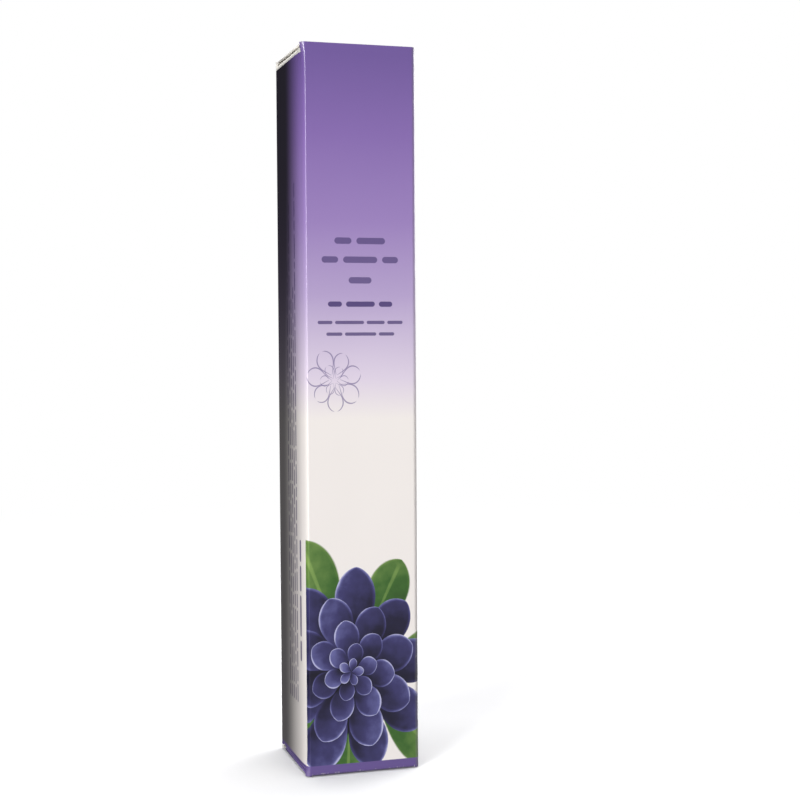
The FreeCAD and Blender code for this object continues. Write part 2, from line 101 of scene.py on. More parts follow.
class Field:
    """A value that varies over a surface: a shader socket that plain arithmetic works on."""

    def __init__(self, tree, socket):
        self.tree = tree
        self.socket = socket

    def math(self, operation, *others):
        node = self.tree.nodes.new("ShaderNodeMath")
        node.operation = operation
        for socket, value in zip(node.inputs, (self, *others)):
            feed(socket, value)
        return Field(self.tree, node.outputs[0])

    def __add__(self, other):
        return self.math("ADD", other)

    def __sub__(self, other):
        return self.math("SUBTRACT", other)

    def __rsub__(self, other):
        return self * -1 + other

    def __mul__(self, other):
        return self.math("MULTIPLY", other)

    def __truediv__(self, other):
        return self.math("DIVIDE", other)

    def __pow__(self, power):
        return self.math("MAXIMUM", 0.0).math("POWER", power)

    def __abs__(self):
        return self.math("ABSOLUTE")

    __radd__ = __add__
    __rmul__ = __mul__

    def floor(self):
        return self.math("FLOOR")

    def least(self, other):
        return self.math("MINIMUM", other)

    def most(self, other):
        return self.math("MAXIMUM", other)

    def rise(self, start, end):
        """0 before start and 1 after end, smooth between them; start may be above end."""
        node = self.tree.nodes.new("ShaderNodeMapRange")
        node.interpolation_type = "SMOOTHSTEP"
        for socket, value in zip(node.inputs, (self, start, end, 0.0, 1.0)):
            feed(socket, value)
        return Field(self.tree, node.outputs[0])

    def within(self, low, high, soft):
        return self.rise(low - soft, low + soft) * self.rise(high + soft, high - soft)

    def chance(self):
        """A random number that belongs to this value."""
        node = self.tree.nodes.new("ShaderNodeTexWhiteNoise")
        node.noise_dimensions = "1D"
        feed(node.inputs["W"], self)
        return Field(self.tree, node.outputs["Value"])

    def colours(self, *stops):
        node = self.tree.nodes.new("ShaderNodeValToRGB")
        feed(node.inputs[0], self)
        elements = node.color_ramp.elements
        while len(elements) < len(stops):
            elements.new(1.0)
        for element, (place, tint) in zip(elements, stops):
            element.position = place
            element.color = tint
        return Field(self.tree, node.outputs[0])

    def over(self, under, tint):
        """The tint laid over another colour, with this value as its cover."""
        node = self.tree.nodes.new("ShaderNodeMix")
        node.data_type = "RGBA"
        for socket, value in zip((node.inputs[0], node.inputs[6], node.inputs[7]), (self, under, tint)):
            feed(socket, value)
        return Field(self.tree, node.outputs[2])


def feed(socket, value):
    if isinstance(value, Field):
        value.tree.links.new(value.socket, socket)
    else:
        socket.default_value = value


def colour(red, green, blue):
    """A display colour, 0 to 255, as the shader's linear one."""
    shares = [value / 255 for value in (red, green, blue)]
    return (*[s / 12.92 if s <= 0.04045 else ((s + 0.055) / 1.055) ** 2.4 for s in shares], 1.0)


def scaled(tint, share):
    """A linear colour made darker or lighter."""
    return (*[value * share for value in tint[:3]], 1.0)


class Paint:
    """A material being made, with its surface coordinates x, y and z in millimetres."""

    def __init__(self, name, **sockets):
        self.material = bpy.data.materials.new(name)
        self.material.use_nodes = True
        self.tree = self.material.node_tree
        self.shader = self.tree.nodes["Principled BSDF"]
        for socket, value in sockets.items():
            self.shader.inputs[socket.replace("_", " ")].default_value = value
        place = self.tree.nodes.new("ShaderNodeTexCoord")
        scale = self.tree.nodes.new("ShaderNodeVectorMath")
        scale.operation = "SCALE"
        scale.inputs["Scale"].default_value = 1 / MM
        self.tree.links.new(place.outputs["Object"], scale.inputs[0])
        split = self.tree.nodes.new("ShaderNodeSeparateXYZ")
        self.tree.links.new(scale.outputs[0], split.inputs[0])
        self.place = scale.outputs[0]
        self.x, self.y, self.z = [Field(self.tree, socket) for socket in split.outputs]

    def grain(self, size, detail=3.0, stretch=(1, 1, 1)):
        """Noise with features of about this size in millimetres, stretched along the axes."""
        scale = self.tree.nodes.new("ShaderNodeVectorMath")
        scale.operation = "MULTIPLY"
        scale.inputs[1].default_value = [1 / (size * s) for s in stretch]
        self.tree.links.new(self.place, scale.inputs[0])
        node = self.tree.nodes.new("ShaderNodeTexNoise")
        node.inputs["Scale"].default_value = 1.0
        node.inputs["Detail"].default_value = detail
        self.tree.links.new(scale.outputs[0], node.inputs["Vector"])
        return Field(self.tree, node.outputs[0])

    def set(self, socket, value):
        feed(self.shader.inputs[socket], value)

    def bump(self, field, depth):
        """Relief from a field that runs from 0 to 1, this many millimetres deep."""
        node = self.tree.nodes.new("ShaderNodeBump")
        node.inputs["Distance"].default_value = depth * MM
        feed(node.inputs["Height"], field)
        before = self.shader.inputs["Normal"]
        if before.is_linked:
            self.tree.links.new(before.links[0].from_socket, node.inputs["Normal"])
        self.tree.links.new(node.outputs[0], before)


# Print on the carton

DEEP_VIOLET = colour(104, 82, 150)
BAND_VIOLET = colour(98, 80, 138)
INK = colour(74, 58, 112)
LINE_INK = colour(104, 90, 140)
PAPER = colour(235, 229, 225)
RAW = colour(226, 223, 217)
# near-black colour of the painted shade laid over the side panels' print
SIDE_PAINTED_SHADE = colour(24, 21, 30)
FIELD_COLOURS = (
    # share of the carton's height, colour
    (0.490, PAPER),
    (0.545, colour(216, 204, 221)),
    (0.660, colour(175, 156, 197)),
    (0.760, colour(149, 124, 181)),
    (0.880, colour(128, 101, 166)),
    (0.990, colour(107, 84, 148)),
)
FIELD_UNEVEN = 2.4           # how far the field's colours wander up and down
SHADE_START = -9.5           # y where the side panels' painted shade begins
SHADE_LENGTH = 16.0
SHADE_COVER = 0.885
SHADE_TOP = (0.40, 0.85)     # shares of the height between which the painted shade deepens
SHADE_TOP_COVER = 0.10       # what its cover gains there, and how much sooner it is full
SHADE_TOP_LEAD = 0.24
BAND_HEIGHT = 1.8
BAND_BLUR = 0.05
BARE_AND_HIGHLIGHT_MARGIN = 0.75           # unprinted top of a side panel, below its fold, which also serves as a painted highlight of the fold
BARE_BLUR = 0.1
PAINTED_SHADE_RIM = 2.4                # painted shade in the band's violet on the inner side of the bottom lid, from the carton's side
RIM_UNEVEN = 0.4
ROW_SHIFT = 31.7             # sets the random numbers of one row apart from the next row's
END_SPREAD = 0.6             # how far the end of a bar strays, as a share of a bar's length
BAR_INSET = 0.9              # from the end of a bar's cell to the middle of its round end, in thicknesses
BAR_BLUR = 0.04
CELL_BLUR = 0.01


def bars(across, along, middle, half, top, pitch, count, thick, bar, ragged=0.0, centred=True):
    """Cover of blank round-ended bars in rows.

    A full row is twice half long, a usual bar is bar long, and ragged is the most that a row may lack.
    """
    place = (top - along) / pitch
    row = place.floor()
    length = (1 - row.chance() * ragged) * (half * 2)
    number = (length / bar).math("ROUND").most(1.0)
    start = middle - length / 2 if centred else middle - half
    cell = (across - start) / length * number

    def bar_end(index):
        """Where a cell ends; only the ends inside a row stray."""
        inner = index.rise(0.4, 0.6) * (number - index).rise(0.4, 0.6)
        return index + ((index + row * ROW_SHIFT).chance() - 0.5) * inner * END_SPREAD

    index = cell.floor()
    from_end = abs(cell - bar_end(index)).least(abs(cell - bar_end(index + 1)))
    short = (thick * BAR_INSET - from_end * length / number).most(0.0)
    aside = (place - row - 0.5) * pitch
    cover = (short * short + aside * aside).math("SQRT").rise(thick / 2 + BAR_BLUR, thick / 2 - BAR_BLUR)
    return cover * cell.within(0.0, number, CELL_BLUR) * place.within(0.0, count, CELL_BLUR)


BLOOM_SQUASH = 1.12          # a bloom's height against its width
BLOOM_CENTRE = (-2.2, 18.5)
BLOOM_RINGS = (
    # count, turn, inner and outer radius, width, unevenness, tone
    (9, 0.35, 3.0, 16.2, 0.98, 0.16, -0.04),
    (8, 0.10, 2.2, 12.2, 0.98, 0.14, 0.02),
    (7, 0.60, 1.4, 8.2, 0.96, 0.12, 0.08),
    (6, 0.25, 0.6, 5.0, 0.94, 0.10, 0.14),
    (5, 0.45, -0.6, 2.4, 0.94, 0.10, 0.24),
)
BLADE_RING = (7, 0.30, 6.0, 22.0, 0.62, 0.2)    # the same without a tone, as for the line drawing
SPRIG_CENTRE = (-4.9, 71.6)
SPRIG_RINGS = (
    (7, 0.2, 1.0, 5.0, 0.95, 0.15),
    (6, 0.5, 0.4, 2.6, 0.90, 0.15),
)
GROUND_RADIUS = 10.5         # dark ground behind the petals
GROUND_CORE = 0.93           # share of that radius within which it is full
BLOOM_COLOURS = (
    (0.00, colour(10, 9, 17)),
    (0.30, colour(30, 27, 54)),
    (0.58, colour(58, 55, 102)),
    (0.82, colour(98, 98, 152)),
    (1.00, colour(178, 178, 214)),
)
BLADE_COLOURS = (
    (0.00, colour(20, 30, 16)),
    (0.45, colour(58, 98, 40)),
    (1.00, colour(128, 158, 84)),
)


def from_centre(paint, centre):
    """Distances across and up from a bloom's centre, with its squash taken out."""
    return paint.x - centre[0], (paint.z - centre[1]) / BLOOM_SQUASH


def ring_of_petals(paint, centre, count, turn, inner, outer, width, uneven):
    """How deep a point lies in its petal, how far along it and to which side, and the petal's chance."""
    across, upward = from_centre(paint, centre)
    radius = (across * across + upward * upward).math("SQRT")
    cell = upward.math("ARCTAN2", across) * (count / (2 * math.pi)) + turn
    index = cell.floor()
    chance = index.math("FLOORED_MODULO", float(count)).chance()
    reach = chance * (uneven * outer) + outer * (1 - uneven / 2)
    share = (radius - inner) / (reach - inner)
    outline = (share * (1 - share) * 4) ** 0.65 * width
    side = (cell - index - 0.5) * 2
    return outline - abs(side), share, chance, side


def blades(paint, base, mottle):
    """Green blades that reach out from behind the bloom."""
    inside, share, chance, side = ring_of_petals(paint, BLOOM_CENTRE, *BLADE_RING)
    tone = share * 0.4 + chance * 0.25 + mottle * 0.4 + side * 0.3 + 0.15
    vein = abs(side).rise(0.06, 0.02) * share.rise(0.97, 0.85)
    tone = tone + vein * 0.25 + inside.rise(0.12, 0.0) * 0.2
    return inside.rise(0.0, 0.05).over(base, tone.colours(*BLADE_COLOURS))


def bloom(paint, base):
    """A stylised bloom of overlapping petals over green blades, low on the front."""
    mottle = paint.grain(2.2) - 0.5
    base = blades(paint, base, mottle)
    across, upward = from_centre(paint, BLOOM_CENTRE)
    away = across * across + upward * upward
    ground = away.rise(GROUND_RADIUS ** 2, (GROUND_RADIUS * GROUND_CORE) ** 2)
    base = ground.over(base, BLOOM_COLOURS[0][1])
    for *ring, ring_tone in BLOOM_RINGS:
        inside, share, chance, side = ring_of_petals(paint, BLOOM_CENTRE, *ring)
        rim = inside.rise(0.20, 0.0) * share.rise(0.3, 0.85) * 0.36
        tone = share * 0.50 + chance * 0.20 + mottle * 0.40 + side * 0.18 + rim + ring_tone
        base = inside.rise(0.0, 0.035).over(base, tone.colours(*BLOOM_COLOURS))
    return base


def sprig(paint, base):
    """A thin line drawing of one open bloom, at the foot of the coloured field."""
    for ring in SPRIG_RINGS:
        inside, share, *_ = ring_of_petals(paint, SPRIG_CENTRE, *ring)
        line = abs(inside).rise(0.10, 0.03) * share.within(0.02, 0.98, 0.02)
        base = (line * 0.75).over(base, LINE_INK)
    return base


def field_colours(paint):
    """The violet that fades to a warm white down the carton, a little unevenly."""
    uneven = (paint.grain(26.0, 1.0) - 0.5) * FIELD_UNEVEN
    return ((paint.z + uneven) / height).colours(*FIELD_COLOURS)


FRONT_ROWS = (
    # middle of the row in height, half length, thickness, usual bar length, strength of the ink
    (96.8, 5.2, 1.15, 5.0, 0.80),
    (93.4, 7.6, 1.15, 5.0, 0.80),
    (89.7, 2.6, 1.15, 5.0, 0.80),
    (85.4, 6.4, 0.95, 5.0, 0.95),
    (82.1, 8.2, 0.60, 4.0, 0.85),
    (80.0, 6.6, 0.60, 4.0, 0.85),
)
ROW_PITCH = 2.0
SIDE_ROWS = dict(middle=60.0, half=48.0, top=2.6, pitch=1.55, count=5, thick=0.6, bar=3.4, ragged=0.25)
SIDE_FOOT = dict(middle=33.0, half=13.0, top=-5.9, pitch=2.4, count=1, thick=0.9, bar=6.0, ragged=0.2)
BACK_HEAD = dict(middle=0.0, half=6.8, top=98.0, pitch=3.55, count=2, thick=1.1, bar=5.0, ragged=0.4)
BACK_ROWS = dict(middle=0.0, half=8.0, top=66.0, pitch=1.9, count=14, thick=0.65, bar=3.2, ragged=0.3)
BOX_MIDDLE = 20.0            # height of the middle of the back's ruled box
BOX_HALF = (6.4, 9.4)


def front_art(paint, base):
    """Rows in the upper half, a line drawing under them, and the bloom at the foot."""
    base = sprig(paint, base)
    for level, half, thick, bar, strength in FRONT_ROWS:
        cover = bars(paint.x, paint.z, 0.0, half, level + ROW_PITCH / 2, ROW_PITCH, 1, thick, bar)
        base = (cover * strength).over(base, INK)
    return bloom(paint, base)


def painted_side_shade(paint, base, depth):
    """Painted shade on the side panels: a dark colour laid over the print, full at a depth of 1 or a
    little before, and fuller at the top.
    """
    upper = (paint.z / height).rise(*SHADE_TOP)
    cover = depth.rise(0.0, 1.0 - upper * SHADE_TOP_LEAD) * (upper * SHADE_TOP_COVER + SHADE_COVER)
    return cover.over(base, SIDE_PAINTED_SHADE)


def side_art(paint, base):
    """Small rows up the panel, under painted shade that deepens away from the front."""
    rows = bars(paint.z, paint.y, centred=False, **SIDE_ROWS)
    foot = bars(paint.z, paint.y, centred=False, **SIDE_FOOT)
    base = (rows.most(foot) * 0.85).over(base, INK)
    return painted_side_shade(paint, base, (paint.y - SHADE_START) / SHADE_LENGTH)


def back_art(paint, base):
    """Two rows at the head, a block of small ones, and an empty ruled box."""
    head = bars(paint.x, paint.z, **BACK_HEAD)
    base = (head * 0.8).over(base, INK)
    rows = bars(paint.x * -1, paint.z, centred=False, **BACK_ROWS)
    base = (rows * 0.8).over(base, INK)
    across = abs(paint.x) - BOX_HALF[0]
    upward = abs(paint.z - BOX_MIDDLE) - BOX_HALF[1]
    rule = abs(across.most(upward)).rise(0.14, 0.06)
    base = (rule * 0.7).over(base, INK)
    # painted shade on the back's two creases, running on into the side panels' painted shade
    return painted_side_shade(paint, base, (abs(paint.x) - half_width) / crease_radius + 1)


FILM = dict(Coat_Weight=0.35, Coat_Roughness=0.16, Specular_IOR_Level=0.45)
CREASE_WEAR_AND_HIGHLIGHT = (0.9, 0.4)     # where a crease's wear and painted highlight begin and are full, inside its sharp corner
LID_END_WEAR = (0.9, 0.1)    # the same inside a lid's ends and sides
LID_SIDE_WEAR = (0.8, 0.3)


def finish_board(paint, base, ink_relief):
    """Film gloss, the board's fibres and a slight waviness under a printed colour."""
    paint.set("Base Color", base)
    fibres = paint.grain(0.22, 4.0, (1.0, 1.0, 2.2))
    paint.set("Roughness", fibres * 0.10 + paint.grain(7.0, 2.0) * 0.08 + 0.24)
    paint.bump(paint.grain(9.0, 1.5), ink_relief)
    paint.bump(fibres, 0.006)


def worn(paint, base, field, amount):
    """Ink that is rubbed thin and flaked where the field nears 1."""
    flakes = (paint.grain(0.35, 4.0, (1.0, 1.0, 3.0)) + field * 0.2).rise(0.72, 0.9)
    return (flakes * field * amount).over(base, RAW)


def printed(name, art, bare_and_highlight_top):
    """Printed board with the field of colour, its artwork, a band at the foot, and creases rubbed pale,
    partly real wear and partly a painted highlight.
    """
    paint = Paint(name, **FILM)
    base = art(paint, field_colours(paint))
    base = paint.z.rise(BAND_HEIGHT + BAND_BLUR, BAND_HEIGHT - BAND_BLUR).over(base, BAND_VIOLET)
    bend = (half_width + half_depth - abs(paint.x) - abs(paint.y)).rise(*CREASE_WEAR_AND_HIGHLIGHT)
    # painted highlight: the creases are lightened towards paper white; the flaking below is real wear
    base = (bend * 0.12).over(base, PAPER)
    base = worn(paint, base, bend, 0.35)
    if bare_and_highlight_top:
        # pale raw board at the top of the side panels: unprinted board that is also a painted highlight on
        # the fold
        level = height - bare_and_highlight_top
        base = paint.z.rise(level - BARE_BLUR, level + BARE_BLUR).over(base, RAW)
    finish_board(paint, base, 0.05)
    return paint.material


def printed_flap(name, ink):
    """A lid's plain printed side, rubbed pale along its folds."""
    paint = Paint(name, **FILM)
    shade = paint.grain(14.0, 1.0).colours((0.3, ink), (0.7, scaled(ink, 1.08)))
    ends = (half_depth - abs(paint.y)).rise(*LID_END_WEAR)
    sides = (half_width - abs(paint.x)).rise(*LID_SIDE_WEAR)
    finish_board(paint, worn(paint, shade, ends.most(sides), 0.3), 0.03)
    return paint.material


def raw_board(name, rim=0.0):
    """The board's uncoated side: pale fibres with a few darker ones, and a rim of painted shade in the
    band's violet.
    """
    paint = Paint(name, Specular_IOR_Level=0.25, Sheen_Weight=0.08)
    cloud = paint.grain(3.0, 4.0).colours((0.3, colour(214, 210, 202)), (0.7, colour(232, 229, 223)))
    specks = paint.grain(0.16, 2.0, (1.0, 1.0, 4.0)).rise(0.70, 0.78) * 0.35
    base = specks.over(cloud, colour(168, 158, 146))
    if rim:
        # painted shade along the rim, standing in for the shadowed gap at the carton's foot
        across = abs(paint.x) + (paint.grain(0.8) - 0.5) * RIM_UNEVEN
        base = across.rise(half_width - rim, half_width - rim + RIM_UNEVEN).over(base, BAND_VIOLET)
    paint.set("Base Color", base)
    fibres = paint.grain(0.18, 4.0, (1.0, 1.0, 3.0))
    paint.set("Roughness", fibres * 0.15 + 0.75)
    paint.bump(fibres, 0.02)
    return paint.material


def cut_edge(name):
    """The board's cut edge: pale plies with greyer fibres among them."""
    paint = Paint(name, Specular_IOR_Level=0.2)
    plies = paint.grain(0.09, 3.0, (6.0, 6.0, 6.0))
    paint.set("Base Color", plies.colours((0.35, colour(190, 186, 180)), (0.65, colour(226, 223, 218))))
    paint.set("Roughness", plies * 0.1 + 0.8)
    paint.bump(plies, 0.015)
    return paint.material


# Pen materials


def moulded(name, tint, gloss, **sockets):
    """Moulded plastic: a faint mottle, fine texture and scuffs that dull the gloss."""
    paint = Paint(name, **sockets)
    paint.set("Base Color", paint.grain(5.0, 3.0).colours((0.3, scaled(tint, 0.90)), (0.7, tint)))
    scuffs = paint.grain(0.5, 4.0, (1.0, 1.0, 9.0)).rise(0.56, 0.72)
    paint.set("Roughness", scuffs * 0.16 + gloss)
    paint.bump(paint.grain(0.35, 3.0), 0.008)
    return paint.material


def barrel_plastic():
    """Pearly sleeve whose violet fades to a warm white up its length."""
    paint = Paint("barrel_plastic", Coat_Weight=0.6, Coat_Roughness=0.08)
    low, high = box_mm("outer_barrel")
    share = (paint.z - low.z) / (high.z - low.z) + (paint.grain(8.0) - 0.5) * 0.06
    paint.set("Base Color", share.colours((0.1, DEEP_VIOLET), (0.6, colour(196, 180, 214)), (0.9, PAPER)))
    flakes = paint.grain(0.12, 2.0)
    paint.set("Roughness", flakes * 0.2 + 0.22)
    paint.bump(flakes, 0.004)
    return paint.material


def clear_plastic():
    """The cap's clear plastic with faint flow marks."""
    paint = Paint("clear_plastic", Transmission_Weight=1.0, IOR=1.49, Specular_IOR_Level=0.5)
    tint = paint.grain(9.0).colours((0.3, colour(240, 238, 246)), (0.7, colour(250, 249, 252)))
    paint.set("Base Color", tint)
    paint.set("Roughness", paint.grain(0.8, 4.0, (1.0, 1.0, 8.0)).rise(0.55, 0.75) * 0.10 + 0.03)
    paint.bump(paint.grain(4.0, 2.0), 0.02)
    return paint.material


def bright_metal():
    """Turned and polished metal with fine marks round its axis."""
    paint = Paint("bright_metal", Metallic=1.0)
    marks = paint.grain(0.08, 3.0, (40.0, 40.0, 1.0))
    tarnish = paint.grain(1.6, 4.0)
    paint.set("Base Color", tarnish.colours((0.3, colour(176, 174, 178)), (0.7, colour(222, 221, 226))))
    paint.set("Roughness", marks * 0.16 + tarnish * 0.08 + 0.12)
    paint.bump(marks, 0.006)
    return paint.material


def rubber():
    """Black seal rubber with a little pale dust."""
    paint = Paint("seal_rubber", Specular_IOR_Level=0.35)
    dust = paint.grain(0.6, 4.0).rise(0.55, 0.8) * 0.3
    paint.set("Base Color", dust.over(colour(38, 37, 40), colour(104, 102, 106)))
    paint.set("Roughness", paint.grain(0.3, 3.0) * 0.2 + 0.5)
    paint.bump(paint.grain(0.25, 3.0), 0.01)
    return paint.material


def bristle():
    """Pale nylon hair, a little darker where oil has wetted the tip."""
    paint = Paint("brush_fibre", Transmission_Weight=0.15, Specular_IOR_Level=0.6)
    low, high = box_mm("brush")
    share = (paint.z - low.z) / (high.z - low.z) + (paint.grain(0.5) - 0.5) * 0.12
    tint = share.colours(
        (0.40, colour(236, 231, 220)),
        (0.75, colour(222, 214, 196)),
        (1.00, colour(190, 176, 150)),
    )
    paint.set("Base Color", tint)
    paint.set("Roughness", paint.grain(0.2, 3.0, (1.0, 1.0, 10.0)) * 0.2 + 0.28)
    paint.bump(paint.grain(0.06, 2.0, (1.0, 1.0, 12.0)), 0.006)
    return paint.material


# Meshes

PRINTED, INNER, EDGE = range(3)    # places of a board's materials: outside, inside, cut edge
SHARP_ANGLE = math.radians(35.0)
WELD = 0.001                 # points closer than this are one point


def add_piece(name, bm, materials, body):
    """A mesh from a finished bmesh, in millimetres, that rides on a body."""
    bmesh.ops.recalc_face_normals(bm, faces=bm.faces)
    bmesh.ops.scale(bm, vec=(MM, MM, MM), verts=bm.verts)
    mesh = bpy.data.meshes.new(name)
    bm.to_mesh(mesh)
    bm.free()
    for material in materials:
        mesh.materials.append(material)
    mesh.shade_smooth()
    mesh.set_sharp_from_angle(angle=SHARP_ANGLE)
    piece = bpy.data.objects.new(name, mesh)
    bpy.context.scene.collection.objects.link(piece)
    if body:
        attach(piece, body)
    return piece


def same(place):
    return place


def other_end(place):
    """The half turn about X that swaps the carton's top and bottom, and its front and back."""
    return Vector((place.x, -place.y, height - place.z))


def spread(low, high, count):
    """Values from low to high in this many equal steps."""
    return [low + (high - low) * index / count for index in range(count + 1)]


def skin_reach(opening):
    """Length that the board leaves free beside a fold whose faces stand at this angle."""
    return board / math.tan(opening / 2) + FOLD_CLEAR


def grid_bmesh(columns, rows, at):
    """A board between an outer and an inner grid, where at(column, row, depth) gives each point."""
    bm = bmesh.new()
    layers = [[[bm.verts.new(at(u, v, depth)) for u in columns] for v in rows] for depth in (0.0, board)]
    for layer, index in zip(layers, (PRINTED, INNER)):
        for lower, upper in zip(layer, layer[1:]):
            for corner in range(len(columns) - 1):
                face = bm.faces.new((lower[corner], lower[corner + 1], upper[corner + 1], upper[corner]))
                face.material_index = index
    outer, inner = [border(layer) for layer in layers]
    for place, vertex in enumerate(outer):
        face = bm.faces.new((outer[place - 1], vertex, inner[place], inner[place - 1]))
        face.material_index = EDGE
    return bm


def border(layer):
    """The grid's outline, once round."""
    right = [row[-1] for row in layer[1:-1]]
    left = [row[0] for row in layer[1:-1]]
    return layer[0] + right + layer[-1][::-1] + left[::-1]


BOW = 0.10                   # how far a long panel bends inwards at its middle
RIPPLE = 0.04
RIPPLE_RATE = (0.11, 0.05)   # ripples in a millimetre, across and up
RIPPLE_SEED = 1.0
SOFT_REACH = 5.0             # how far the rounding of the front left crease runs into the side panel
SOFT_FADE = 3.0              # height over which it tightens at the carton's two ends
NOTCH_STEP = 0.02            # from the end of a fold to the columns of points beside it
PANEL_ROWS = 48
WRAPPED_END_ROWS = (0.8, 2.0)    # heights of the two rows next to a panel's end row
SIDE_END_ROWS = (1.9, 3.0)
HALF_COLUMNS = 8             # even columns on half a wrapped panel, which stop short of its crease
COLUMN_GAP = 0.8
CREASE_COLUMNS = 14
SIDE_COLUMNS = 24            # even columns on a side panel, this far to each side of its middle
SIDE_COLUMN_REACH = 8.0


def panel_rows(low, high, second, third):
    """Heights of the points up a panel, closer together at its two ends."""
    return [low, second] + spread(third, height - third, PANEL_ROWS) + [height - second, high]


def hollow(across, z):
    """How far a panel lies inside its flat plane, nothing at its creases."""
    middle = math.cos(math.pi / 2 * min(abs(across) / (half_width - crease_radius), 1.0))
    ends = math.sin(math.pi * z / height)
    ripple = noise.noise(Vector((across * RIPPLE_RATE[0], z * RIPPLE_RATE[1], RIPPLE_SEED))) + 0.5
    return middle * ends * (BOW + RIPPLE * ripple)


def softness(z):
    """Share of the soft rounding at a height: none at the ends, where the flaps hold the creases tight."""
    share = min(min(z, height - z) / SOFT_FADE, 1.0)
    return share * share * (3 - 2 * share)


def crease_point(share, reach):
    """Quarter ellipse from the front face, at 0, to the side panel, at 1: distances from the middle."""
    last = math.asin(1 - crease_radius / reach)
    angle = math.pi / 2 - share * (math.pi / 2 - last)
    across = half_width - crease_radius * (1 - math.cos(angle))
    return Vector((across, half_depth - reach * (1 - math.sin(angle)), 0.0))


def side_inset(y, z):
    """How far the left panel lies inside its plane next to its front crease."""
    share = max(SOFT_REACH - half_depth - y, 0.0) / SOFT_REACH
    return crease_radius * (1 - math.sqrt(1 - share * share)) * softness(z)


def wrapped_panel(name, turn, soft, materials):
    """The front panel with its two creases, or the back panel as a tighter one turned over."""
    flat = half_width - crease_radius
    fold_half = half_width - FOLD_INSET
    bend = [flat + share for share in spread(0.0, 1.0, CREASE_COLUMNS)]
    notch = [fold_half - NOTCH_STEP, fold_half + NOTCH_STEP]
    side = spread(0.0, flat - COLUMN_GAP, HALF_COLUMNS) + notch + bend
    columns = [-along for along in side[:0:-1]] + side
    rows = panel_rows(0.0, height, *WRAPPED_END_ROWS)
    free = skin_reach(math.pi / 2)

    def at(along, z, depth):
        share = abs(along) - flat
        if abs(along) < fold_half:
            z = max(z, free)
        if share <= 0:
            return turn(Vector((along, depth + hollow(along, z) - half_depth, z)))
        amount = softness(z) if soft and along < 0 else 0.0
        point = crease_point(share, crease_radius).lerp(crease_point(share, SOFT_REACH), amount)
        if depth:
            first = Vector((flat, half_depth - depth, 0.0))
            last = crease_point(1.0, crease_radius).lerp(crease_point(1.0, SOFT_REACH), amount)
            point = first.lerp(last - Vector((depth, 0.0, 0.0)), share)
        return turn(Vector((math.copysign(point.x, along), -point.y, z)))

    piece = add_piece(name + "_board", grid_bmesh(columns, rows, at), materials, "carton")
    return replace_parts(piece, name)


def flat_panel(name, side, materials):
    """A side panel, folded at both ends where its dust flaps leave it."""
    fold_z = folds["top_dust_left_hinge"].z
    reach = half_depth - crease_radius
    free = skin_reach(math.pi / 2)
    top_fold = (dust_low.y, dust_high.y)
    bottom_fold = (-dust_high.y, -dust_low.y)
    marks = [mark + move for mark in top_fold + bottom_fold for move in (-NOTCH_STEP, NOTCH_STEP)]
    even = spread(-SIDE_COLUMN_REACH, SIDE_COLUMN_REACH, SIDE_COLUMNS)
    columns = sorted([-reach, reach] + marks + even)
    rows = panel_rows(left_low.z, left_high.z, *SIDE_END_ROWS)

    def at(y, z, depth):
        if top_fold[0] < y < top_fold[1]:
            z = min(z, fold_z - free)
        if bottom_fold[0] < y < bottom_fold[1]:
            z = max(z, height - fold_z + free)
        inset = side_inset(y, z) if side < 0 else 0.0
        return Vector((side * (half_width - depth - inset), y, z))

    piece = add_piece(name + "_board", grid_bmesh(columns, rows, at), materials, "carton")
    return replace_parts(piece, name)


EDGE_ROUND = 0.05
CORNER_ANGLE = 0.9           # edges bent more than this are rounded
FLAT_ANGLE = math.radians(1.0)
CUT_TOUCH = 0.01             # edges this close to a cut stay sharp
FACING = 0.9                 # how squarely a printed or raw face looks along its direction


def flap(name, body, outward, cuts, materials):
    """A lid or flap from its solid, cut back at its folds, with rounded free edges and its own faces."""
    bm = bmesh.new()
    bm.from_mesh(frame["nodes"][name].data)
    bmesh.ops.scale(bm, vec=(1 / MM, 1 / MM, 1 / MM), verts=bm.verts)
    bmesh.ops.remove_doubles(bm, verts=bm.verts, dist=WELD)
    bmesh.ops.dissolve_limit(bm, angle_limit=FLAT_ANGLE, verts=bm.verts, edges=bm.edges)
    for place, way in cuts:
        whole = bm.verts[:] + bm.edges[:] + bm.faces[:]
        bmesh.ops.bisect_plane(bm, geom=whole, plane_co=place, plane_no=way, clear_inner=True)
        bmesh.ops.holes_fill(bm, edges=[edge for edge in bm.edges if edge.is_boundary])
    bm.normal_update()

    def on_cut(edge):
        middle = (edge.verts[0].co + edge.verts[1].co) / 2
        return any(abs((middle - place).dot(way)) < CUT_TOUCH for place, way in cuts)

    sharp = [edge for edge in bm.edges if edge.calc_face_angle(0.0) > CORNER_ANGLE and not on_cut(edge)]
    bmesh.ops.bevel(bm, geom=sharp, offset=EDGE_ROUND, segments=2, profile=0.5, affect="EDGES")
    bmesh.ops.dissolve_degenerate(bm, dist=WELD, edges=bm.edges)
    bm.normal_update()
    for face in bm.faces:
        facing = face.normal.dot(outward)
        face.material_index = PRINTED if facing > FACING else INNER if facing < -FACING else EDGE
    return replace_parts(add_piece(name + "_board", bm, materials, body), name)


